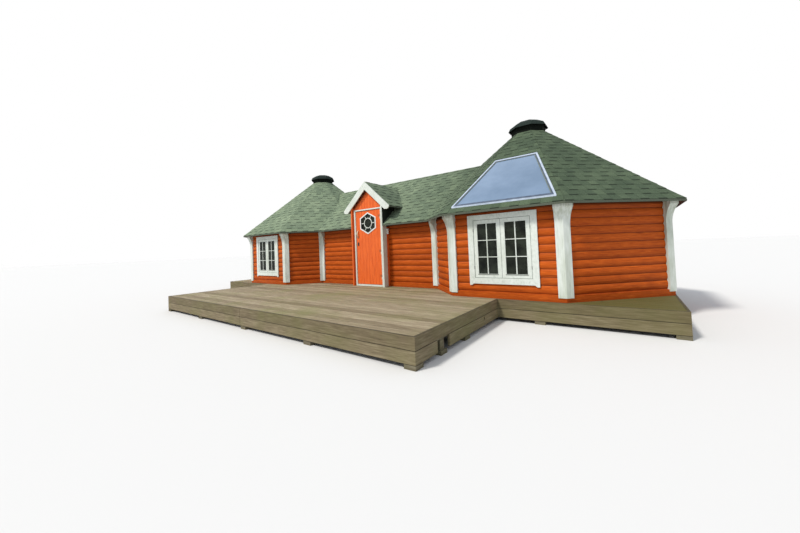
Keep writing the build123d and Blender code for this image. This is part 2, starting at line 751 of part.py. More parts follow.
front_skirts = skirts((right_x + seam, platform_high), (-platform_y, -behind_skirt))
front_skirts += skirts((-platform_high, left_x - seam), (-platform_y, -behind_skirt))
between = (-behind_skirt + seam, behind_skirt - seam)
half_skirts = skirts((platform_high - skirt_thick, platform_high), between)
half_skirts += skirts((platform_low, platform_high), (behind_skirt, platform_y))
half_skirts += skirts((platform_low, inner_x), (link_lip + seam, behind_skirt - seam))
back_skirts = skirts((-inner_x + seam, inner_x - seam), (link_lip - skirt_thick, link_lip))
write("platform_skirts", front_skirts + half_skirts + mirrored(half_skirts) + back_skirts)

# Foundation posts on pads
post_top = -deck_board - joist_deep
places = []
edge = post_side / 2
between_rims = joist_places(terrace_x, 12)[3:10:3]
for x in [left_x + edge] + between_rims + [right_x - edge]:
    for y in (front_y + edge, -3540):
        places.append((x, y))
places.append((right_x - edge, -4200))
between_rims = joist_places(platform_x, 8)[3:6:2]
for side in (-1, 1):
    for x in [platform_x[0] + edge] + between_rims + [platform_x[1] - edge]:
        for y in (-behind_skirt + edge, -770, 770, behind_skirt - edge):
            places.append((side * x, y))
for y in (-link_lip + edge, 0, link_lip - skirt_thick - edge):
    places.append((0, y))
footings = []
for x, y in places:
    footing = block((x - edge, x + edge), (y - edge, y + edge), (-deck_height + pad_deep, post_top))
    pad = block((x - pad_side / 2, x + pad_side / 2), (y - pad_side / 2, y + pad_side / 2),
                (-deck_height, -deck_height + pad_deep))
    footings.append(footing + pad)
write("foundation_posts", footings)
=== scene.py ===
# Kota cabin: two octagonal log huts with a link room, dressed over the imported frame
import bpy
import math
from mathutils import Vector, Matrix


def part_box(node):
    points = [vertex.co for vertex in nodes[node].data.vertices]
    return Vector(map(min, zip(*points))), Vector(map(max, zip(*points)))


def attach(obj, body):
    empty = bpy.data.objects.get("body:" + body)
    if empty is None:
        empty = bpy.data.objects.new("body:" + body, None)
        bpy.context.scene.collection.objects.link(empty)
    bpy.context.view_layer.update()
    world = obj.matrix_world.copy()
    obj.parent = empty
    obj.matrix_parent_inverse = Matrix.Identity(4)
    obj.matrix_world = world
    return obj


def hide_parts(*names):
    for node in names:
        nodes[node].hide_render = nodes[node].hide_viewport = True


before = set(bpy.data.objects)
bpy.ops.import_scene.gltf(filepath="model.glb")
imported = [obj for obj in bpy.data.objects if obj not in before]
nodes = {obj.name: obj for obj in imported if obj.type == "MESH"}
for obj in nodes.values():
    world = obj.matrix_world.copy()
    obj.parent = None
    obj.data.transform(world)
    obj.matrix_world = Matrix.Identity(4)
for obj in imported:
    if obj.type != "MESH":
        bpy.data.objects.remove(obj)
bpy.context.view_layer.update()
print("frame loaded")

# places that the frame gives, in metres
platformLow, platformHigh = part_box('platform_deck')
terraceLow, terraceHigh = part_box('terrace_deck')
wallLow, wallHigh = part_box('right_front_wall')
paneLow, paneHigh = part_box('window_glass')
leafLow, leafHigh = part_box('door_leaf')
rimLow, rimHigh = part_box('door_window_frame')
gableLow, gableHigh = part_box('porch_gable')
cheekLow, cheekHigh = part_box('porch_cheeks')
porchLow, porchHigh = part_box('porch_roof')
axisY = (platformLow.y + platformHigh.y) / 2 # long axis of the cabin
deckZ = platformHigh.z
hutX = (wallLow.x + wallHigh.x) / 2 # middle of the right hut: the left one mirrors it
leafHalf = (leafHigh.x - leafLow.x) / 2
hexWide = (rimHigh.x - rimLow.x) / 2
hexHigh = (rimHigh.z - rimLow.z) / 2
hexZ = (rimLow.z + rimHigh.z) / 2

# roofs: sizes in metres, the eaves' height from the deck, and pitches in degrees
roof = {
    'facet': 1.85, 'linkHalf': 1.495, 'overhang': 0.222, 'eave': 1.492, 'board': 0.03, 'collar': 0.333,
    'hutPitch': 41.2, 'linkPitch': 38.95, 'porchPitch': 42.0,
}
halfTan = math.tan(math.radians(22.5))
hutPitch = math.radians(roof['hutPitch'])
linkPitch = math.radians(roof['linkPitch'])
porchPitch = math.radians(roof['porchPitch'])
hutEdge = roof['facet'] / 2 / halfTan + roof['overhang']
linkEdge = roof['linkHalf'] + roof['overhang']
eaveZ = deckZ + roof['eave']
hutHalf = hutEdge * halfTan # half the width of a hut's panel at its eave
hipX = math.cos(hutPitch) * halfTan # how much a hip closes in for each metre up the slope
porchX = (porchLow.x + porchHigh.x) / 2
porchHalf = (porchHigh.x - porchLow.x) / 2
porchEave = porchLow.z + roof['board']
porchRidge = porchEave + porchHalf * math.tan(porchPitch)

# skylight: heights up the slope, margin from the hips, shift to the right, and its bars' width and pale share
sky = {'low': 0.152, 'high': 1.655, 'margin': 0.105, 'shift': 0.022, 'bar': 0.042, 'bright': 0.55}
skyHalf = hutHalf - sky['margin']
skySlant = math.hypot(1, hipX) # turns a width square to the side bars into one along the eave


def cleanUp():
    if bpy.context.object and bpy.context.object.mode != 'OBJECT':
        bpy.ops.object.mode_set(mode='OBJECT')
    bpy.ops.object.select_all(action='DESELECT')


def only(obj):
    cleanUp()
    obj.select_set(True)
    bpy.context.view_layer.objects.active = obj


def editAll(obj):
    only(obj)
    bpy.ops.object.mode_set(mode='EDIT')
    bpy.ops.mesh.select_all(action='SELECT')


def remove(obj):
    only(obj)
    bpy.ops.object.delete()


def done(obj, mat, body="cabin"):
    cleanUp()
    obj.data.materials.clear()
    obj.data.materials.append(mat)
    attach(obj, body)
    return obj


def block(name, low, high, bevel=0.0):
    cleanUp()
    bpy.ops.mesh.primitive_cube_add(size=1)
    obj = bpy.context.object
    obj.name = name
    editAll(obj)
    bpy.ops.transform.resize(value=[b - a for a, b in zip(low, high)])
    if bevel:
        bpy.ops.mesh.bevel(offset=bevel, segments=1, affect='EDGES')
        bpy.ops.mesh.select_all(action='SELECT')
    bpy.ops.transform.translate(value=[(a + b) / 2 for a, b in zip(low, high)])
    bpy.ops.object.mode_set(mode='OBJECT')
    return obj


def joined(name, objs):
    cleanUp()
    for obj in objs:
        obj.select_set(True)
    bpy.context.view_layer.objects.active = objs[0]
    if len(objs) > 1:
        bpy.ops.object.join()
    whole = bpy.context.object
    whole.name = name
    return whole


def arrayed(obj, count, step):
    only(obj)
    rows = obj.modifiers.new('rows', 'ARRAY')
    rows.use_relative_offset = False
    rows.use_constant_offset = True
    rows.constant_offset_displace = step
    rows.count = count
    bpy.ops.object.modifier_apply(modifier=rows.name)


def trim(obj, point, normal): # cuts off what lies on the normal's side
    editAll(obj)
    bpy.ops.mesh.bisect(plane_co=point, plane_no=normal, use_fill=True, clear_outer=True)
    bpy.ops.object.mode_set(mode='OBJECT')


def cutOut(obj, cutter):
    only(obj)
    cut = obj.modifiers.new('cut', 'BOOLEAN')
    cut.operation = 'DIFFERENCE'
    cut.solver = 'EXACT'
    cut.object = cutter
    bpy.ops.object.modifier_apply(modifier=cut.name)
    remove(cutter)


def copied(obj, name):
    only(obj)
    bpy.ops.object.duplicate()
    new = bpy.context.object
    new.name = name
    return new


def bakePlace(obj):
    only(obj)
    bpy.ops.object.transform_apply(location=True, rotation=True, scale=True)


# helpers for the materials
def link(tree, source, target):
    tree.links.new(source, target)


def mathNode(tree, operation, first, second=None, clamp=False):
    node = tree.nodes.new('ShaderNodeMath')
    node.operation = operation
    node.use_clamp = clamp
    for socket, value in zip(node.inputs, (first, second)):
        if isinstance(value, bpy.types.NodeSocket):
            link(tree, value, socket)
        elif value is not None:
            socket.default_value = value
    return node.outputs[0]


def rise(tree, value, start, rate): # 0 up to start, and from there it grows to 1
    return mathNode(tree, 'MULTIPLY', mathNode(tree, 'SUBTRACT', value, start), rate, clamp=True)


def away(tree, value, middle):
    return mathNode(tree, 'ABSOLUTE', mathNode(tree, 'SUBTRACT', value, middle))


def noiseNode(tree, vector, scale, detail=4.0, rough=0.6):
    node = tree.nodes.new('ShaderNodeTexNoise')
    node.inputs['Scale'].default_value = scale
    node.inputs['Detail'].default_value = detail
    node.inputs['Roughness'].default_value = rough
    link(tree, vector, node.inputs['Vector'])
    return node.outputs['Fac']


def objectCoord(tree):
    return tree.nodes.new('ShaderNodeTexCoord').outputs['Object']


def separated(tree, vector):
    node = tree.nodes.new('ShaderNodeSeparateXYZ')
    link(tree, vector, node.inputs[0])
    return node.outputs


def stretched(tree, scale):
    node = tree.nodes.new('ShaderNodeMapping')
    node.inputs['Scale'].default_value = scale
    link(tree, objectCoord(tree), node.inputs['Vector'])
    return node.outputs[0]


def ramp(tree, value, stops):
    node = tree.nodes.new('ShaderNodeValToRGB')
    elements = node.color_ramp.elements
    while len(elements) < len(stops):
        elements.new(0.5)
    for element, (position, colour) in zip(elements, stops):
        element.position = position
        element.color = (*colour, 1)
    link(tree, value, node.inputs['Fac'])
    return node.outputs['Color']


def rowTone(tree, row, stops): # one tone for each log or board
    node = tree.nodes.new('ShaderNodeTexWhiteNoise')
    node.noise_dimensions = '1D'
    link(tree, mathNode(tree, 'FLOOR', row), node.inputs['W'])
    return ramp(tree, node.outputs['Value'], stops)


def mixed(tree, share, under, upper, blend='MIX'):
    node = tree.nodes.new('ShaderNodeMix')
    node.data_type = 'RGBA'
    node.blend_type = blend
    for socket, value in ((node.inputs['Factor'], share), (node.inputs[6], under), (node.inputs[7], upper)):
        if isinstance(value, bpy.types.NodeSocket):
            link(tree, value, socket)
        elif isinstance(value, tuple):
            socket.default_value = (*value, 1)
        else:
            socket.default_value = value
    return node.outputs[2]


def over(tree, under, mask, share, colour):
    return mixed(tree, mathNode(tree, 'MULTIPLY', mask, share), under, colour)


def tinted(tree, under, tone, share=1.0):
    return mixed(tree, share, under, tone, 'MULTIPLY')


def newMat(name, rough, gloss, metallic=0.0):
    mat = bpy.data.materials.new(name)
    mat.use_nodes = True
    shader = mat.node_tree.nodes['Principled BSDF']
    shader.inputs['Roughness'].default_value = rough
    shader.inputs['Metallic'].default_value = metallic
    shader.inputs['Specular IOR Level'].default_value = gloss
    return mat, mat.node_tree, shader


def bumped(tree, shader, height, strength, distance):
    node = tree.nodes.new('ShaderNodeBump')
    node.inputs['Strength'].default_value = strength
    node.inputs['Distance'].default_value = distance
    link(tree, height, node.inputs['Height'])
    link(tree, node.outputs[0], shader.inputs['Normal'])


# grain group: streaks along one direction, broad patches and knots
wood = {
    'streaks': (6.0, 6.0, 0.65), 'patches': (1.6, 3.0, 0.5), # scale, detail and roughness
    'knotStretch': 0.6, 'knotScale': 1.6, 'knotEdge': 7.0,
}


def grainGroup():
    group = bpy.data.node_groups.new('grain', 'ShaderNodeTree')
    for name in ('Vector', 'Along'):
        group.interface.new_socket(name=name, in_out='INPUT', socket_type='NodeSocketVector')
    for name in ('Grain', 'Patch', 'Knots'):
        group.interface.new_socket(name=name, in_out='OUTPUT', socket_type='NodeSocketFloat')
    given = group.nodes.new('NodeGroupInput').outputs
    result = group.nodes.new('NodeGroupOutput').inputs
    drawn = group.nodes.new('ShaderNodeVectorMath')
    drawn.operation = 'MULTIPLY'
    link(group, given['Vector'], drawn.inputs[0])
    link(group, given['Along'], drawn.inputs[1])
    shorter = group.nodes.new('ShaderNodeVectorMath')
    shorter.operation = 'SCALE'
    shorter.inputs['Scale'].default_value = wood['knotStretch']
    link(group, drawn.outputs[0], shorter.inputs[0])
    cells = group.nodes.new('ShaderNodeTexVoronoi')
    cells.inputs['Scale'].default_value = wood['knotScale']
    link(group, shorter.outputs[0], cells.inputs['Vector'])
    spread = mathNode(group, 'MULTIPLY', cells.outputs['Distance'], wood['knotEdge'])
    link(group, noiseNode(group, drawn.outputs[0], *wood['streaks']), result['Grain'])
    link(group, noiseNode(group, given['Vector'], *wood['patches']), result['Patch'])
    link(group, mathNode(group, 'SUBTRACT', 1.0, spread, clamp=True), result['Knots'])
    return group


grain = grainGroup()


def grainNode(tree, along):
    node = tree.nodes.new('ShaderNodeGroup')
    node.node_tree = grain
    link(tree, objectCoord(tree), node.inputs['Vector'])
    node.inputs['Along'].default_value = along
    return node.outputs


# stained logs, dark in the joints between courses, with painted shade on the lower part of each log and under
# the eaves
logs = {
    'along': (0.9, 0.9, 11.0), 'firstJoint': 0.117, 'course': 0.1275,
    'grain': [(0.25, (0.35, 0.054, 0.005)), (0.55, (0.57, 0.106, 0.010)), (0.8, (0.76, 0.18, 0.022))],
    'courseTone': [(0.0, (0.8, 0.78, 0.76)), (1.0, (1.0, 1.0, 1.0))],
    'patches': [(0.3, (0.78, 0.74, 0.72)), (0.65, (1.0, 1.0, 1.0))], 'patchShare': 0.7,
    'knots': (0.55, (0.12, 0.022, 0.006)), # share and colour
    'undersideShade': (0.55, (0.18, 0.023, 0.003)), 'undersideShadeFrom': 0.42, 'undersideShadeRate': 2.2,
    'joints': (0.8, (0.035, 0.008, 0.003)), 'jointFrom': 0.45, 'jointRate': 30.0,
    'eaveShade': (0.04, 0.011, 0.004),
    'eaveShadeBands': ((1.28, 3.5, 0.35), (1.44, 25.0, 0.8)), # height, rate and share
}


def logMaterial():
    mat, tree, shader = newMat('logStain', rough=0.55, gloss=0.1)
    grains = grainNode(tree, logs['along'])
    place = separated(tree, objectCoord(tree))
    height = mathNode(tree, 'SUBTRACT', place['Z'], deckZ + logs['firstJoint'])
    course = mathNode(tree, 'DIVIDE', height, logs['course'])
    within = mathNode(tree, 'FRACT', course)
    base = ramp(tree, grains['Grain'], logs['grain'])
    colour = tinted(tree, base, rowTone(tree, course, logs['courseTone']))
    colour = tinted(tree, colour, ramp(tree, grains['Patch'], logs['patches']), logs['patchShare'])
    colour = over(tree, colour, grains['Knots'], *logs['knots'])
    # painted shade on the lower part of each log
    shadedUnderside = mathNode(tree, 'SUBTRACT', logs['undersideShadeFrom'], within)
    shadedUnderside = mathNode(tree, 'MULTIPLY', shadedUnderside, logs['undersideShadeRate'], clamp=True)
    colour = over(tree, colour, shadedUnderside, *logs['undersideShade'])
    joint = rise(tree, away(tree, within, 0.5), logs['jointFrom'], logs['jointRate'])
    colour = over(tree, colour, joint, *logs['joints'])
    # painted shade under the eaves
    for start, rate, share in logs['eaveShadeBands']:
        colour = over(tree, colour, rise(tree, place['Z'], deckZ + start, rate), share, logs['eaveShade'])
    link(tree, colour, shader.inputs['Base Color'])
    bumped(tree, shader, grains['Grain'], strength=0.35, distance=0.004)
    return mat


# brighter stain of the door and the porch, in upright boards
stain = {
    'along': (9.0, 9.0, 0.7),
    'grain': [(0.25, (0.58, 0.085, 0.012)), (0.55, (0.80, 0.14, 0.020)), (0.8, (0.90, 0.20, 0.036))],
    'knots': (0.4, (0.30, 0.05, 0.012)),
    # felt: near black, as felt and painted shade on the cheeks' outer sides
    'felt': (0.012, 0.014, 0.012), 'feltAndShadeFrom': 1.44, 'skin': 0.0015,
    'shade': (0.85, (0.07, 0.012, 0.006)), 'shadeReach': 0.275, 'shadeRate': 16.0,
}


def doorStain(name, feltAndShade=False, shaded=False):
    mat, tree, shader = newMat(name, rough=0.45, gloss=0.3)
    grains = grainNode(tree, stain['along'])
    colour = over(tree, ramp(tree, grains['Grain'], stain['grain']), grains['Knots'], *stain['knots'])
    place = separated(tree, objectCoord(tree))
    out = away(tree, place['X'], porchX)
    if feltAndShade: # felt and painted shade on the outer sides, above the link's roof
        outer = mathNode(tree, 'GREATER_THAN', out, (cheekHigh.x - cheekLow.x) / 2 - stain['skin'])
        high = mathNode(tree, 'GREATER_THAN', place['Z'], deckZ + stain['feltAndShadeFrom'])
        colour = mixed(tree, mathNode(tree, 'MULTIPLY', outer, high), colour, stain['felt'])
    if shaded: # painted shade along the bargeboards
        upTo = mathNode(tree, 'ADD', place['Z'], mathNode(tree, 'MULTIPLY', out, math.tan(porchPitch)))
        near = rise(tree, upTo, porchRidge - stain['shadeReach'], stain['shadeRate'])
        colour = over(tree, colour, near, *stain['shade'])
    link(tree, colour, shader.inputs['Base Color'])
    bumped(tree, shader, grains['Grain'], strength=0.25, distance=0.003)
    return mat


# weathered white paint, green with algae in patches
paint = {
    'grain': [(0.2, (0.45, 0.50, 0.43)), (0.45, (0.65, 0.70, 0.645)), (0.8, (0.76, 0.80, 0.75))],
    'blots': [(0.47, (0.0, 0.0, 0.0)), (0.72, (1.0, 1.0, 1.0))],
    'blotStretch': (1.0, 1.0, 0.35), 'blotNoise': (3.2, 5.0, 0.6), 'algae': (0.28, 0.33, 0.20),
    'runStretch': (14.0, 14.0, 1.2), 'runNoise': (1.6, 3.0, 0.6), 'runs': (0.6, (0.25, 0.29, 0.16)),
    'runFrom': 0.4, 'runRate': 3.2, 'greenRate': 4.0,
    'stain': (0.72, 0.12, 0.018), 'casing': 0.0085, 'skin': 0.0005,
}


def whitePaint(name, along, algae, greenFrom=None, stained=False):
    mat, tree, shader = newMat(name, rough=0.55, gloss=0.35)
    grains = grainNode(tree, along)
    place = separated(tree, objectCoord(tree))
    blots = noiseNode(tree, stretched(tree, paint['blotStretch']), *paint['blotNoise'])
    base = ramp(tree, grains['Grain'], paint['grain'])
    colour = over(tree, base, ramp(tree, blots, paint['blots']), algae, paint['algae'])
    if greenFrom: # green runs above that height
        runs = noiseNode(tree, stretched(tree, paint['runStretch']), *paint['runNoise'])
        high = rise(tree, place['Z'], greenFrom, paint['greenRate'])
        thick = rise(tree, runs, paint['runFrom'], paint['runRate'])
        colour = over(tree, colour, mathNode(tree, 'MULTIPLY', high, thick), *paint['runs'])
    if stained: # the frame beside and above its casing has the door's stain
        out = away(tree, place['X'], porchX)
        beside = mathNode(tree, 'GREATER_THAN', out, leafHalf + paint['casing'])
        above = mathNode(tree, 'GREATER_THAN', place['Z'], leafHigh.z + paint['casing'])
        behind = mathNode(tree, 'GREATER_THAN', place['Y'], leafLow.y - paint['skin'])
        where = mathNode(tree, 'MULTIPLY', mathNode(tree, 'MAXIMUM', beside, above), behind)
        colour = mixed(tree, where, colour, paint['stain'])
    link(tree, colour, shader.inputs['Base Color'])
    bumped(tree, shader, grains['Grain'], strength=0.3, distance=0.002)
    return mat


# white rim of the six-sided window, with dark putty along the glass
rim = {
    'white': [(0.3, (0.70, 0.73, 0.70)), (0.7, (0.82, 0.84, 0.82))],
    'putty': (0.03, 0.035, 0.03), 'inner': 0.885, # inner: where the white ends, 1 on the outline
}


def rimPaint():
    mat, tree, shader = newMat('rimPaint', rough=0.5, gloss=0.3)
    place = separated(tree, objectCoord(tree))
    across = away(tree, place['X'], porchX)
    upward = mathNode(tree, 'DIVIDE', away(tree, place['Z'], hexZ), hexHigh)
    slanted = mathNode(tree, 'ADD', upward, mathNode(tree, 'DIVIDE', across, 2 * hexWide))
    edge = mathNode(tree, 'MAXIMUM', mathNode(tree, 'DIVIDE', across, hexWide), slanted)
    white = ramp(tree, noiseNode(tree, objectCoord(tree), scale=9.0), rim['white'])
    putty = mathNode(tree, 'LESS_THAN', edge, rim['inner'])
    link(tree, mixed(tree, putty, white, rim['putty']), shader.inputs['Base Color'])
    return mat


# deck boards, in metres, and their grey-brown timber with a tone for each board
board = {'pitch': 0.15, 'wide': 0.145, 'thick': 0.028, 'end': 0.0015, 'bevel': 0.003}
halfGap = (board['pitch'] - board['wide']) / 2
timber = {
    'grain': [(0.2, (0.10, 0.082, 0.055)), (0.5, (0.235, 0.20, 0.145)), (0.8, (0.40, 0.36, 0.28))],
    'boardTone': [(0.0, (0.66, 0.63, 0.58)), (1.0, (1.14, 1.14, 1.14))],
    'patches': [(0.45, (0.0, 0.0, 0.0)), (0.75, (1.0, 1.0, 1.0))], 'moss': (0.6, (0.16, 0.17, 0.07)),
    'rightEndShade': (0.095, 0.086, 0.022), 'rightEndShadeFrom': 3.3, 'rightEndShadeRate': 0.7, # painted shade at the right end of the platform
    'joints': (0.75, (0.03, 0.026, 0.018)), 'jointFrom': 0.455, 'jointRate': 30.0,
    # tints: the tops lighter than the skirts as painted light on the faces turned up, the skirts greener, the
    # joists darker
    'top': {'along': (0.6, 9.0, 6.0), 'tint': (1.24, 1.2, 1.1), 'rightEndShade': 0.95},
    'skirt': {'along': (0.7, 0.7, 9.0), 'tint': (0.88, 0.84, 0.71), 'rightEndShade': 0.25},
    'joist': {'along': (0.7, 0.7, 7.0), 'tint': (0.6, 0.6, 0.55), 'rightEndShade': 0.0},
}


def deckMaterial(name, kind, axis, start, pitch=board['pitch']):
    mat, tree, shader = newMat(name, rough=0.8, gloss=0.25)
    finish = timber[kind]
    grains = grainNode(tree, finish['along'])
    place = separated(tree, objectCoord(tree))
    row = mathNode(tree, 'DIVIDE', mathNode(tree, 'SUBTRACT', place[axis], start), pitch)
    base = ramp(tree, grains['Grain'], timber['grain'])
    colour = tinted(tree, base, rowTone(tree, row, timber['boardTone']))
    colour = over(tree, colour, ramp(tree, grains['Patch'], timber['patches']), *timber['moss'])
    colour = tinted(tree, colour, finish['tint'])
    # painted shade towards the right end
    rightEndShade = rise(tree, place['X'], timber['rightEndShadeFrom'], timber['rightEndShadeRate'])
    colour = over(tree, colour, rightEndShade, finish['rightEndShade'], timber['rightEndShade'])
    edge = away(tree, mathNode(tree, 'FRACT', row), 0.5)
    joint = rise(tree, edge, timber['jointFrom'], timber['jointRate'])
    colour = over(tree, colour, joint, *timber['joints'])
    link(tree, colour, shader.inputs['Base Color'])
    bumped(tree, shader, grains['Grain'], strength=0.5, distance=0.004)
    return mat


# mineral shingles, sage green, with painted light: lighter at the left end as painted sunlight, darker at the
# right as painted shade
mineral = {
    'fine': [(0.3, (0.062, 0.086, 0.060)), (0.52, (0.137, 0.176, 0.126)), (0.75, (0.29, 0.345, 0.255))],
    'blots': [(0.3, (0.68, 0.71, 0.69)), (0.7, (1.12, 1.10, 1.06))], 'blotShare': 0.8,
    'tabTone': [(0.0, (0.80, 0.82, 0.82)), (1.0, (1.10, 1.10, 1.06))],
    'sunToShade': [(0.0, (1.64, 1.62, 1.57)), (0.62, (1.33, 1.33, 1.29)), (0.95, (0.63, 0.68, 0.62))],
    'sunToShadeFrom': -3.5, 'sunToShadeRate': 1 / 7, # from the left hut to the right one
    'foot': (0.72, (0.02, 0.027, 0.02)), 'footFrom': 0.84, 'footRate': 14.0,
}


def shingleMaterial():
    mat, tree, shader = newMat('shingle', rough=0.9, gloss=0.1)
    coord = objectCoord(tree)
    fine = noiseNode(tree, coord, scale=160.0, detail=3.0, rough=0.7)
    blots = ramp(tree, noiseNode(tree, coord, scale=1.7, detail=5.0), mineral['blots'])
    colour = tinted(tree, ramp(tree, fine, mineral['fine']), blots, mineral['blotShare'])
    tab = tree.nodes.new('ShaderNodeNewGeometry').outputs['Random Per Island']
    colour = tinted(tree, colour, ramp(tree, tab, mineral['tabTone']))
    # painted sunlight at the left end, painted shade at the right
    sunToShade = rise(tree, separated(tree, coord)['X'], mineral['sunToShadeFrom'], mineral['sunToShadeRate'])
    colour = tinted(tree, colour, ramp(tree, sunToShade, mineral['sunToShade']))
    foot = tree.nodes.new('ShaderNodeAttribute') # 1 along the foot of a raised tab, half on a flat one
    foot.attribute_name = 'butt'
    line = rise(tree, foot.outputs['Fac'], mineral['footFrom'], mineral['footRate'])
    colour = over(tree, colour, line, *mineral['foot'])
    link(tree, colour, shader.inputs['Base Color'])
    bumped(tree, shader, fine, strength=0.5, distance=0.002)
    return mat


def upMask(tree, above): # 1 where a face looks up more than that
    normal = tree.nodes.new('ShaderNodeNewGeometry').outputs['True Normal']
    return mathNode(tree, 'GREATER_THAN', separated(tree, normal)['Z'], above)


# felt on the roof boards, and the dark boards seen from below
boards = {
    'along': (1.0, 8.0, 1.0), 'under': [(0.3, (0.045, 0.024, 0.012)), (0.7, (0.11, 0.062, 0.032))],
    'top': [(0.3, (0.045, 0.055, 0.04)), (0.7, (0.12, 0.14, 0.10))],
}


def roofDeckMaterial():
    mat, tree, shader = newMat('roofBoards', rough=0.8, gloss=0.25)
    grains = grainNode(tree, boards['along'])
    under = ramp(tree, grains['Grain'], boards['under'])
    top = ramp(tree, noiseNode(tree, objectCoord(tree), scale=120.0, detail=3.0), boards['top'])
    link(tree, mixed(tree, upMask(tree, above=-0.2), under, top), shader.inputs['Base Color'])
    bumped(tree, shader, grains['Grain'], strength=0.3, distance=0.002)
    return mat


# felt on the hats, with painted shade: black on their undersides
hat = {'felt': [(0.3, (0.010, 0.016, 0.014)), (0.7, (0.036, 0.050, 0.044))], 'under': (0.006, 0.007, 0.006)}


def hatFeltAndUnderShade():
    mat, tree, shader = newMat('hatFeltAndUnderShade', rough=0.9, gloss=0.06)
    fine = noiseNode(tree, objectCoord(tree), scale=90.0, detail=3.0, rough=0.7)
    felt = ramp(tree, fine, hat['felt'])
    # undersides black: painted shade
    link(tree, mixed(tree, upMask(tree, above=0.05), hat['under'], felt), shader.inputs['Base Color'])
    bumped(tree, shader, fine, strength=0.4, distance=0.002)
    return mat


def plainMaterial(name, dark, light, rough, metallic=0.0, gloss=0.5):
    mat, tree, shader = newMat(name, rough, gloss, metallic)
    blots = noiseNode(tree, objectCoord(tree), scale=30.0, detail=5.0)
    link(tree, ramp(tree, blots, [(0.3, dark), (0.7, light)]), shader.inputs['Base Color'])
    bumped(tree, shader, blots, strength=0.1, distance=0.001)
    return mat


def glassMaterial(name, dark, light, transmission, gloss, spread):
    mat, tree, shader = newMat(name, rough=0.03, gloss=gloss)
    shader.inputs['Transmission Weight'].default_value = transmission
    shader.inputs['IOR'].default_value = 1.45
    blots = noiseNode(tree, objectCoord(tree), spread, rough=0.55)
    link(tree, ramp(tree, blots, [(0.35, dark), (0.65, light)]), shader.inputs['Base Color'])
    return mat


# bright bars, dark where they turn down to the glass
skyTones = {
    'bright': [(0.3, (0.36, 0.43, 0.54)), (0.7, (0.55, 0.62, 0.72))],
    'dark': [(0.3, (0.05, 0.07, 0.11)), (0.7, (0.12, 0.16, 0.22))],
}


def skyBars():
    mat, tree, shader = newMat('skylightBars', rough=0.45, gloss=0.25, metallic=0.2)
    coord = objectCoord(tree)
    place = separated(tree, coord)
    inward = mathNode(tree, 'SUBTRACT', place['Y'], axisY - hutEdge)
    upward = mathNode(tree, 'SUBTRACT', place['Z'], eaveZ)
    up = mathNode(tree, 'ADD', mathNode(tree, 'MULTIPLY', inward, math.cos(hutPitch)),
                  mathNode(tree, 'MULTIPLY', upward, math.sin(hutPitch))) # metres up the slope
    across = away(tree, place['X'], hutX + sky['shift'])
    across = mathNode(tree, 'ADD', across, mathNode(tree, 'MULTIPLY', up, hipX))
    pale = sky['bar'] * sky['bright']
    inside = mathNode(tree, 'GREATER_THAN', up, sky['low'] + pale)
    for value, end in ((up, sky['high'] - pale), (across, skyHalf - pale * skySlant)):
        inside = mathNode(tree, 'MULTIPLY', inside, mathNode(tree, 'LESS_THAN', value, end))
    blots = noiseNode(tree, coord, scale=12.0)
    bright = ramp(tree, blots, skyTones['bright'])
    dark = ramp(tree, blots, skyTones['dark'])
    link(tree, mixed(tree, inside, bright, dark), shader.inputs['Base Color'])
    return mat


logMat = logMaterial()
doorMat = doorStain('doorStain')
cheekMat = doorStain('cheekStain', feltAndShade=True)
gableMat = doorStain('gableStain', shaded=True)
postMat = whitePaint('whitePosts', along=(7.0, 7.0, 0.6), algae=0.6, greenFrom=deckZ + 1.1)
trimMat = whitePaint('whiteTrim', along=(5.0, 5.0, 3.0), algae=0.3)
frameMat = whitePaint('whiteFrame', along=(6.0, 6.0, 0.8), algae=0.2, stained=True)
rimMat = rimPaint()
terraceMat = deckMaterial('deckBoards', 'top', 'Y', start=terraceLow.y - halfGap)
platformMat = deckMaterial('platformBoards', 'top', 'Y', start=platformLow.y - halfGap)
skirtMat = deckMaterial('skirtBoards', 'skirt', 'Z', start=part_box('terrace_skirts')[0].z - halfGap)
joistMat = deckMaterial('joists', 'joist', 'X', start=-20.0, pitch=9.0) # broad bands instead of boards
shingleMat = shingleMaterial()
roofMat = roofDeckMaterial()
hatMat = hatFeltAndUnderShade()
# collars near black: painted shade under the hats
collarShadeMat = plainMaterial('collar', (0.004, 0.005, 0.004), (0.010, 0.013, 0.010), rough=0.85, gloss=0.05)
# dark seal of the skylight, also the strips round the window sashes, which are painted shade
sealAndGapShadeMat = plainMaterial('seal', (0.10, 0.12, 0.105), (0.19, 0.22, 0.19), rough=0.8, gloss=0.2)
ledgeMat = plainMaterial('ledge', (0.17, 0.19, 0.165), (0.27, 0.29, 0.255), rough=0.6, gloss=0.2)
ironMat = plainMaterial('darkIron', (0.02, 0.02, 0.02), (0.05, 0.05, 0.05), rough=0.45, metallic=0.6)
skyMetal = skyBars()
handleMat = plainMaterial('handleBrass', (0.55, 0.50, 0.36), (0.75, 0.70, 0.52), rough=0.35, metallic=0.7)
hingeMat = plainMaterial('hingeBrown', (0.36, 0.075, 0.015), (0.5, 0.12, 0.03), rough=0.5, metallic=0.2)
lampMat = plainMaterial('lampShell', (0.70, 0.70, 0.66), (0.85, 0.85, 0.82), rough=0.5)
# dark with green blots: painted reflections, and painted shade of the dark room behind
glassMat = glassMaterial('paneGlass', (0.003, 0.005, 0.003), (0.032, 0.040, 0.028),
                         transmission=0.25, gloss=0.06, spread=4.5)
# light blue: painted reflection of the sky
skyGlass = glassMaterial('roofGlass', (0.145, 0.225, 0.34), (0.215, 0.31, 0.45),
                         transmission=0.12, gloss=0.35, spread=1.2)

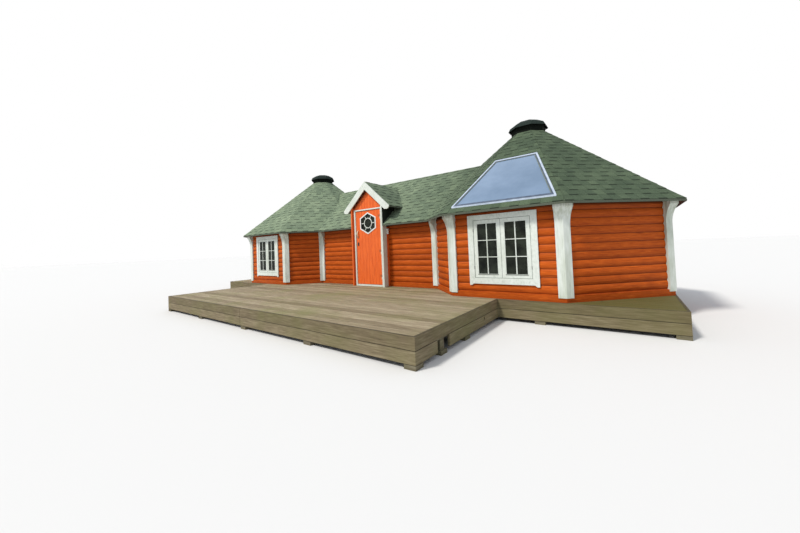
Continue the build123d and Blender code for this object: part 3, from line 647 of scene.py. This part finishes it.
# a node takes the material with the longest of these endings
nodeMats = {
    'base_boards': logMat, 'wall': logMat, 'walls': logMat,
    'link_front_wall_left': logMat, 'link_front_wall_right': logMat,
    'corner_posts': postMat, 'door_leaf': doorMat, 'porch_gable': doorMat, 'porch_cheeks': cheekMat,
    'door_frame': frameMat, 'door_window_frame': rimMat,
    'porch_bargeboards': trimMat, 'porch_trim': trimMat, 'window_frames': trimMat, 'window_sashes': trimMat,
    'window_glass': glassMat, 'door_window_glass': glassMat,
    'skylight_glass': skyGlass, 'skylight_frame': skyMetal,
    'door_handle': handleMat, 'door_lock': ironMat, 'door_hinges': hingeMat,
    'roof': roofMat, 'smoke_hats': hatMat, 'smoke_collars': collarShadeMat, 'wall_lamp': lampMat,
    'deck': terraceMat, 'skirts': skirtMat, 'joists': joistMat, 'foundation_posts': joistMat,
}
for name, obj in nodes.items():
    endings = [key for key in nodeMats if name == key or name.endswith('_' + key)]
    obj.data.materials.clear()
    obj.data.materials.append(nodeMats[max(endings, key=len)])
print("materials set")

# shingles: rows of tabs laid up each slope, cut along hips and valleys
shingle = {
    'exposure': 0.142, 'tab': 0.31, 'tooth': 0.145, 'bed': 0.0005, 'thick': 0.005, 'start': 0.0105,
    'gap': 0.001, 'hipGap': 0.001, 'collarGap': 0.004, 'ridgeGap': 0.003,
    'shifts': (0.0, 0.5, 0.22, 0.72), # of each course, in tabs
    'raised': (0.006, 1.0), 'flat': (0.002, 0.5), # lift of the foot, and its mark
    'linkHalf': 2.75, 'porchHalf': 0.76, # half widths laid before they are cut
}


def shingleField(name, halfWidth, length, cuts):
    rows = int(length / shingle['exposure']) + 1
    tabs = int(halfWidth * 2 / shingle['tab']) + 3
    tiles = []
    for row, shift in enumerate(shingle['shifts']):
        start = -halfWidth - shingle['tab'] * (1 + shift)
        split = start + shingle['tooth']
        low = shingle['start'] + row * shingle['exposure']
        high = low + shingle['exposure'] - shingle['gap']
        for left, right, kind in ((start, split, 'raised'), (split, start + shingle['tab'], 'flat')):
            lift, mark = shingle[kind]
            tile = block('tab', (left + shingle['gap'], low, shingle['bed']),
                         (right - shingle['gap'], high, shingle['thick']))
            butt = tile.data.attributes.new('butt', 'FLOAT', 'POINT')
            for vertex in tile.data.vertices: # the foot lies proud of the course below
                if vertex.co.y < low + shingle['exposure'] / 2:
                    butt.data[vertex.index].value = mark
                    if vertex.co.z > shingle['thick'] / 2:
                        vertex.co.z += lift
            tiles.append(tile)
    field = joined(name, tiles)
    arrayed(field, tabs + 2, (shingle['tab'], 0, 0))
    arrayed(field, rows // len(shingle['shifts']) + 1, (0, len(shingle['shifts']) * shingle['exposure'], 0))
    for point, normal in cuts:
        trim(field, point, normal)
    return field


def layOn(obj, pitch, eaveDistance, eaveHeight, facing, middleX, middleY):
    obj.rotation_euler = (pitch, 0, 0)
    obj.location = (0, -eaveDistance, eaveHeight)
    bakePlace(obj)
    obj.rotation_euler = (0, 0, math.radians(facing + 90))
    bakePlace(obj)
    obj.location = (middleX, middleY, 0)
    bakePlace(obj)


def ontoHut(obj, side, facing):
    layOn(obj, hutPitch, hutEdge, eaveZ, facing if side == 1 else 180 - facing, side * hutX, axisY)


hutSlope = (hutEdge - roof['collar']) / math.cos(hutPitch)
hutCuts = [((0, hutSlope - shingle['collarGap'], 0), (0, 1, 0))]
for hand in (-1, 1):
    hutCuts.append(((hand * (hutHalf - shingle['hipGap']), 0, 0), (hand, hipX, 0)))
template = shingleField('hutTabs', hutHalf, hutSlope, hutCuts)
fields = {1: [], -1: []}
for side in (1, -1):
    for facing in (-90, -45, 0, 45, 90):
        if side == 1 and facing == -90: # the skylight's panel
            continue
        tabs = copied(template, 'hutTabs')
        ontoHut(tabs, side, facing)
        fields[side].append(tabs)

# round the skylight
belowSky = ((0, sky['low'], 0), (0, 1, 0))
aboveSky = ((0, sky['high'], 0), (0, -1, 0))
besideSky = [((0, sky['low'], 0), (0, -1, 0)), ((0, sky['high'], 0), (0, 1, 0))]
rightOfSky = ((sky['shift'] + skyHalf, 0, 0), (-1, -hipX, 0))
leftOfSky = ((sky['shift'] - skyHalf, 0, 0), (1, -hipX, 0))
for cuts in ([belowSky], [aboveSky], [*besideSky, rightOfSky], [*besideSky, leftOfSky]):
    tabs = copied(template, 'skyTabs')
    for point, normal in cuts:
        trim(tabs, point, normal)
    ontoHut(tabs, 1, -90)
    fields[1].append(tabs)

# dark seal between the skylight's glass and its frame
seal = {'wide': 0.014, 'low': 0.016, 'high': 0.0185}
sealFoot = sky['low'] + sky['bar']
sealHead = sky['high'] - sky['bar']
sealHalf = skyHalf - sky['bar'] * skySlant
sealRing = block('skylightSeal', (sky['shift'] - skyHalf, sealFoot, seal['low']),
                 (sky['shift'] + skyHalf, sealHead, seal['high']))
for hand in (-1, 1):
    trim(sealRing, (hand * sealHalf + sky['shift'], 0, 0), (hand, hipX, 0))
core = copied(sealRing, 'sealCore')
for hand, end in ((-1, sealFoot + seal['wide']), (1, sealHead - seal['wide'])):
    trim(core, (hand * (sealHalf - seal['wide'] * skySlant) + sky['shift'], 0, 0), (hand, hipX, 0))
    trim(core, (0, end, 0), (0, hand, 0))
only(core) # thicker than the ring, so that it cuts right through
bpy.ops.transform.resize(value=(1, 1, 4), center_override=(0, 0, (seal['low'] + seal['high']) / 2))
bakePlace(core)
cutOut(sealRing, core)
ontoHut(sealRing, 1, -90)
done(sealRing, sealAndGapShadeMat)

# panels beside the link, cut along the valleys
apexOverRidge = math.tan(hutPitch) * hutEdge - math.tan(linkPitch) * linkEdge
ridgeEnd = apexOverRidge / math.tan(hutPitch) # from a hut's middle
valleyBend = apexOverRidge / (math.tan(hutPitch) - math.tan(linkPitch) * halfTan) # where it crosses the hip
bendX = valleyBend * halfTan
bendUp = (hutEdge - valleyBend) / math.cos(hutPitch)
ridgeUp = (hutEdge - ridgeEnd) / math.cos(hutPitch)
footX = hutEdge - math.sqrt(2) * linkEdge # the valley's foot, from the middle of the inner panel
for side in (1, -1):
    for hand in (1, -1): # front, then back
        tabs = copied(template, 'innerTabs')
        turn = -side * hand
        trim(tabs, (turn * footX, 0, 0), (turn * bendUp, footX - bendX, 0))
        ontoHut(tabs, side, -135 * hand)
        fields[side].append(tabs)
        tabs = copied(template, 'ridgeTabs')
        trim(tabs, (0, 0, 0), (turn, 0, 0))
        trim(tabs, (0, ridgeUp, 0), (turn * (ridgeUp - bendUp), -bendX, 0))
        ontoHut(tabs, side, 180)
        fields[side].append(tabs)
remove(template)
for side, hut in ((1, 'right'), (-1, 'left')):
    done(joined(hut + 'RoofShingles', fields[side]), shingleMat)
print("hut shingles laid")

# link roof, with a gap for the small roof over the entrance
linkSlope = linkEdge / math.cos(linkPitch)
valleyFoot = hutX - math.sqrt(2) * hutEdge + linkEdge
valleyMiddle = hutX - valleyBend
valleyTop = hutX - ridgeEnd
middleUp = (linkEdge - bendX) / math.cos(linkPitch)
porchFoot = linkEdge - (porchEave - eaveZ) / math.tan(linkPitch) # its valley's ends, from the long axis
porchMeet = linkEdge - (porchRidge - eaveZ) / math.tan(linkPitch)
notchGap = 0.04 # between the cheeks the tabs start that far past its valley's foot
notchUp = (linkEdge - porchFoot + notchGap) / math.cos(linkPitch)
linkCuts = [((0, linkSlope - shingle['ridgeGap'], 0), (0, 1, 0))]
linkTemplate = shingleField('linkTabs', shingle['linkHalf'], linkSlope, linkCuts)
linkFields = []


def linkPiece(cuts, facing):
    tabs = copied(linkTemplate, 'linkTabs')
    for point, normal in cuts:
        trim(tabs, point, normal)
    layOn(tabs, linkPitch, linkEdge, eaveZ, facing, 0, axisY)
    linkFields.append(tabs)


for facing in (-90, 90):
    for hand in (-1, 1): # from the bend to the ridge's end
        linkPiece([((hand * valleyMiddle, 0, 0), (-hand, 0, 0)),
                   ((hand * valleyMiddle, middleUp, 0),
                    (hand * (linkSlope - middleUp), valleyMiddle - valleyTop, 0))], facing)
    for hand in (-1, 1): # from the porch, or the middle of the back, to the bend
        inner = cheekHigh.x if hand == 1 else -cheekLow.x
        linkPiece([((hand * (inner if facing == -90 else 0), 0, 0), (-hand, 0, 0)),
                   ((hand * valleyMiddle, 0, 0), (hand, 0, 0)),
                   ((hand * valleyFoot, 0, 0), (hand * middleUp, valleyFoot - valleyMiddle, 0))], facing)
linkPiece([((cheekLow.x, 0, 0), (-1, 0, 0)),
           ((cheekHigh.x, 0, 0), (1, 0, 0)),
           ((0, notchUp, 0), (0, -1, 0))], -90)
remove(linkTemplate)
done(joined('linkRoofShingles', linkFields), shingleMat)

# small roof over the entrance
porch = {'middle': 1.0, 'frontGap': 0.002, 'valleyGap': 0.0017} # middle of its tabs, from the long axis
porchSlope = porchHalf / math.cos(porchPitch)
porchTabs = []
for facing, hand in ((0, 1), (180, -1)):
    tabs = shingleField('porchTabs', shingle['porchHalf'], porchSlope,
                        [((0, porchSlope - shingle['ridgeGap'], 0), (0, 1, 0))])
    trim(tabs, (-hand * (linkEdge - porch['middle'] - porch['frontGap']), 0, 0), (-hand, 0, 0))
    trim(tabs, (-hand * (porchFoot - porch['middle'] + porch['valleyGap']), 0, 0),
         (hand * porchSlope, porchMeet - porchFoot, 0))
    layOn(tabs, porchPitch, porchHalf, porchEave, facing, porchX, axisY - porch['middle'])
    porchTabs.append(tabs)
done(joined('porchRoofShingles', porchTabs), shingleMat)
print("shingles done")

# deck boards in place of the plain slabs: butt joints are listed for each row of a set
decks = {
    'bayHalf': 1.308, 'seam': 0.0005, 'bayStart': 16, 'linkBack': 1.509,
    'terraceJoints': [[-1.16, 1.74], [0.0], [-2.3, 1.16]], 'hutJoints': [[3.0], [4.2], [2.4, 4.9]],
}


def boardField(name, left, right, front, back, joints):
    tiles = []
    for row, joint in enumerate(joints):
        low = front + row * board['pitch']
        edges = [left, *joint, right]
        for start, end in zip(edges[:-1], edges[1:]):
            tiles.append(block('board', (start + board['end'], low, deckZ - board['thick']),
                               (end - board['end'], low + board['wide'], deckZ), board['bevel']))
    field = joined(name, tiles)
    step = board['pitch'] * len(joints)
    arrayed(field, math.ceil((back - front) / step), (0, step, 0))
    trim(field, (0, back, 0), (0, 1, 0))
    return field


plainRows = [[], [], []]
bayHalf = decks['bayHalf']
bayFront = terraceLow.y + decks['bayStart'] * board['pitch'] # its rows go on from the terrace's
bay = boardField('bayBoards', -bayHalf, bayHalf, bayFront, terraceHigh.y, plainRows)
trim(bay, (0, platformLow.y, 0), (0, -1, 0))
terrace = boardField('mainBoards', terraceLow.x, terraceHigh.x, terraceLow.y, platformLow.y - decks['seam'],
                     decks['terraceJoints'])
terraceBoards = done(joined('terraceBoards', [terrace, bay]), terraceMat)
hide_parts('terrace_deck')
inLink = bayHalf - 2 * decks['seam']
linkBoards = boardField('linkBoards', -inLink, inLink, terraceHigh.y + decks['seam'],
                        axisY + decks['linkBack'], plainRows)
hutBoards = [linkBoards]
for side in (-1, 1):
    left, right = sorted((side * bayHalf, side * platformHigh.x))
    joints = [sorted(side * x for x in row) for row in decks['hutJoints']]
    hutBoards.append(boardField('hutBoards', left, right, platformLow.y, platformHigh.y, joints))
platformBoards = done(joined('platformBoards', hutBoards), platformMat)
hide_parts('platform_deck')
print("decks boarded")

# window bars, drip ledges, hinges, and dark strips round the sashes as painted shade in the gaps; depths are
# outwards from the glass
windows = {
    'half': 0.477, 'low': 0.343, 'high': 1.348, 'nearPane': 0.0695,
    'seal': 0.007, 'middleGapShade': 0.0025, 'gapShadeDepth': (0.0285, 0.0315),
    'barHalf': 0.0085, 'barLap': 0.012, 'barDepth': (0.016, 0.033),
    'rungHalf': 0.0065, 'rungLap': 0.014, 'rungDepth': (0.016, 0.0335), 'rungs': 2, 'bevel': 0.003,
    'ledgeLow': 0.016, 'ledgeHigh': 0.002, 'ledgeDepth': (0.029, 0.037),
    'hingeX': 0.4755, 'hingeDepth': 0.034, 'hingeHeights': (0.52, 1.17),
    'hingeRadius': 0.006, 'hingeLong': 0.055,
}
glassY = paneHigh.y
sashLow = deckZ + windows['low']
sashHigh = deckZ + windows['high']
bars = []
ledges = []
pins = []
gapShades = []


def upFront(name, x, z, depth, bevel=0.0):
    return block(name, (x[0], glassY - depth[1], z[0]), (x[1], glassY - depth[0], z[1]), bevel)


for hut in (-hutX, hutX):
    half, wide = windows['half'], windows['seal']
    # dark strips round and between the sashes: painted shade in the gaps
    for hand in (-1, 1):
        side = sorted((hut + hand * half, hut + hand * (half - wide)))
        gapShades.append(upFront('seal', side, (sashLow, sashHigh), windows['gapShadeDepth']))
    for z in (sashLow, sashHigh - wide):
        gapShades.append(upFront('seal', (hut - half, hut + half), (z, z + wide), windows['gapShadeDepth']))
    middle = (hut - windows['middleGapShade'], hut + windows['middleGapShade'])
    gapShades.append(upFront('seal', middle, (sashLow, sashHigh), windows['gapShadeDepth']))
    for hand in (-1, 1):
        left, right = sorted((hut + hand * windows['nearPane'], hut + hand * (paneHigh.x - hutX)))
        x = (left + right) / 2
        bars.append(upFront('bar', (x - windows['barHalf'], x + windows['barHalf']),
                            (paneLow.z - windows['barLap'], paneHigh.z + windows['barLap']),
                            windows['barDepth'], windows['bevel']))
        for rung in range(1, windows['rungs'] + 1):
            z = paneLow.z + (paneHigh.z - paneLow.z) * rung / (windows['rungs'] + 1)
            bars.append(upFront('bar', (left - windows['rungLap'], right + windows['rungLap']),
                                (z - windows['rungHalf'], z + windows['rungHalf']),
                                windows['rungDepth'], windows['bevel']))
        ledges.append(upFront('ledge', (left - windows['barLap'], right + windows['barLap']),
                              (paneLow.z - windows['ledgeLow'], paneLow.z - windows['ledgeHigh']),
                              windows['ledgeDepth'], windows['bevel']))
        for height in windows['hingeHeights']:
            cleanUp()
            pinPlace = (hut + hand * windows['hingeX'], glassY - windows['hingeDepth'], deckZ + height)
            bpy.ops.mesh.primitive_cylinder_add(vertices=12, radius=windows['hingeRadius'],
                                                depth=windows['hingeLong'], location=pinPlace)
            pin = bpy.context.object
            bakePlace(pin)
            pins.append(pin)
done(joined('windowBars', bars), trimMat)
done(joined('windowLedges', ledges), ledgeMat)
done(joined('windowHinges', pins), ironMat)
done(joined('windowGapShades', gapShades), sealAndGapShadeMat)
print("windows barred")

# boarded door leaf with a six-sided hole
door = {'boards': 8, 'gap': 0.0006, 'bevel': 0.004, 'hole': 0.925} # hole: its share of the window's frame


def planks(name, low, high, count):
    width = (high.x - low.x) / count
    made = []
    for i in range(count):
        left = low.x + i * width + door['gap']
        right = low.x + (i + 1) * width - door['gap']
        made.append(block(name, (left, low.y, low.z), (right, high.y, high.z), door['bevel']))
    return made


leaf = joined('doorBoards', planks('plank', leafLow, leafHigh, door['boards']))
cleanUp()
bpy.ops.mesh.primitive_cylinder_add(vertices=6, radius=1.0, depth=0.3) # longer than the leaf is thick
cutter = bpy.context.object
editAll(cutter)
holeWide = hexWide / math.cos(math.radians(30)) * door['hole']
bpy.ops.transform.resize(value=(holeWide, hexHigh * door['hole'], 1.0))
bpy.ops.object.mode_set(mode='OBJECT')
cutter.rotation_euler = (math.radians(90), 0, 0)
cutter.location = (porchX, (leafLow.y + leafHigh.y) / 2, hexZ)
bakePlace(cutter)
cutOut(leaf, cutter)
done(leaf, doorMat, 'door')
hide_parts('door_leaf')

# boarded gable, cut under the porch's roof
gable = {'boards': 10, 'seam': 0.0002, 'spare': 0.02} # spare: cut away along the slopes
gableTop = gableHigh + Vector((0, 0, gable['spare']))
gableBoards = joined('gableBoards', planks('gablePlank', gableLow, gableTop, gable['boards']))
for hand in (-1, 1):
    trim(gableBoards, (porchX, 0, porchRidge - roof['board'] - gable['seam']),
         (hand * math.sin(porchPitch), 0, math.cos(porchPitch)))
done(gableBoards, gableMat)
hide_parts('porch_gable')

# bars of the six-sided window: a ring and six spokes, depths from the leaf's face
light = {
    'ring': 0.122, 'wire': 0.012, 'sunk': 0.002,
    'spokes': 6, 'from': 0.126, 'to': 0.228, 'half': 0.009, 'front': 0.004, 'back': 0.011, 'bevel': 0.003,
}
cleanUp()
bpy.ops.mesh.primitive_torus_add(major_radius=light['ring'], minor_radius=light['wire'],
                                 major_segments=40, minor_segments=8,
                                 location=(porchX, leafLow.y + light['sunk'], hexZ),
                                 rotation=(math.radians(90), 0, 0))
parts = [bpy.context.object]
bakePlace(parts[0])
for k in range(light['spokes']):
    spoke = block('spoke', (light['from'], leafLow.y - light['front'], -light['half']),
                  (light['to'], leafLow.y + light['back'], light['half']), light['bevel'])
    spoke.rotation_euler = (0, math.radians(360 / light['spokes'] * k), 0)
    spoke.location = (porchX, 0, hexZ)
    bakePlace(spoke)
    parts.append(spoke)
done(joined('doorLightBars', parts), trimMat, 'door')
print("door dressed")

# pale floor and soft light: the background is white, also for glass and gloss
studio = {
    'floorSize': 380, 'floor': (0.72, 0.72, 0.71, 1), 'sky': (0.86, 0.91, 1.0, 1), 'skyStrength': 0.7,
    'sun': 2.9, 'sunAngle': 9, 'sunColour': (1.0, 0.96, 0.9), 'sunAim': (0.32, 0.68, -0.9),
}
cleanUp()
bpy.ops.mesh.primitive_plane_add(size=studio['floorSize'], location=(0, 0, 0))
floor = bpy.context.object
floor.name = 'studioFloor'
floorMat, floorTree, floorShader = newMat('studioFloor', rough=0.9, gloss=0.5)
floorShader.inputs['Base Color'].default_value = studio['floor']
floor.data.materials.append(floorMat)

world = bpy.data.worlds.new('studio')
bpy.context.scene.world = world
world.use_nodes = True
worldTree = world.node_tree
ambient = worldTree.nodes['Background']
ambient.inputs['Color'].default_value = studio['sky']
ambient.inputs['Strength'].default_value = studio['skyStrength']
white = worldTree.nodes.new('ShaderNodeBackground')
white.inputs['Color'].default_value = (1, 1, 1, 1)
rays = worldTree.nodes.new('ShaderNodeLightPath').outputs
seen = mathNode(worldTree, 'MAXIMUM', rays['Is Camera Ray'], rays['Is Glossy Ray'])
seen = mathNode(worldTree, 'MAXIMUM', seen, rays['Is Transmission Ray'])
either = worldTree.nodes.new('ShaderNodeMixShader')
link(worldTree, seen, either.inputs[0])
link(worldTree, ambient.outputs[0], either.inputs[1])
link(worldTree, white.outputs[0], either.inputs[2])
link(worldTree, either.outputs[0], worldTree.nodes['World Output'].inputs['Surface'])

cleanUp()
bpy.ops.object.light_add(type='SUN')
sun = bpy.context.object
sun.data.energy = studio['sun']
sun.data.angle = math.radians(studio['sunAngle'])
sun.data.color = studio['sunColour']
sun.rotation_euler = Vector(studio['sunAim']).to_track_quat('-Z', 'Y').to_euler()
print("studio lit")

# camera: angles in radians, its place from the long axis and the deck, focal length and centre in pixels
view = {
    'yaw': 0.6417, 'pitch': 0.0303, 'roll': -0.0404, 'x': 5.274, 'front': 7.455, 'height': 0.914,
    'focal': 310.45, 'centre': (396.97, 238.85), 'photo': (800, 533), 'sensor': 36, 'far': 500,
}
cam = bpy.data.objects.new('camera', bpy.data.cameras.new('camera'))
bpy.context.scene.collection.objects.link(cam)
ahead = Vector((-math.sin(view['yaw']), math.cos(view['yaw']), 0))
aside = Vector((math.cos(view['yaw']), math.sin(view['yaw']), 0))
upright = Vector((0, 0, 1))
forward = ahead * math.cos(view['pitch']) + upright * math.sin(view['pitch'])
top = upright * math.cos(view['pitch']) - ahead * math.sin(view['pitch'])
right = aside * math.cos(view['roll']) + top * math.sin(view['roll'])
top = top * math.cos(view['roll']) - aside * math.sin(view['roll'])
wide, high = view['photo']
cam.location = (view['x'], axisY - view['front'], deckZ + view['height'])
cam.rotation_euler = Matrix((right, top, -forward)).transposed().to_euler()
cam.data.sensor_width = view['sensor']
cam.data.lens = view['focal'] / wide * view['sensor']
cam.data.shift_x = (wide / 2 - view['centre'][0]) / wide
cam.data.shift_y = (view['centre'][1] - high / 2) / wide
cam.data.clip_end = view['far']
bpy.context.scene.camera = cam
bpy.context.scene.view_settings.view_transform = 'Standard'

print("done")
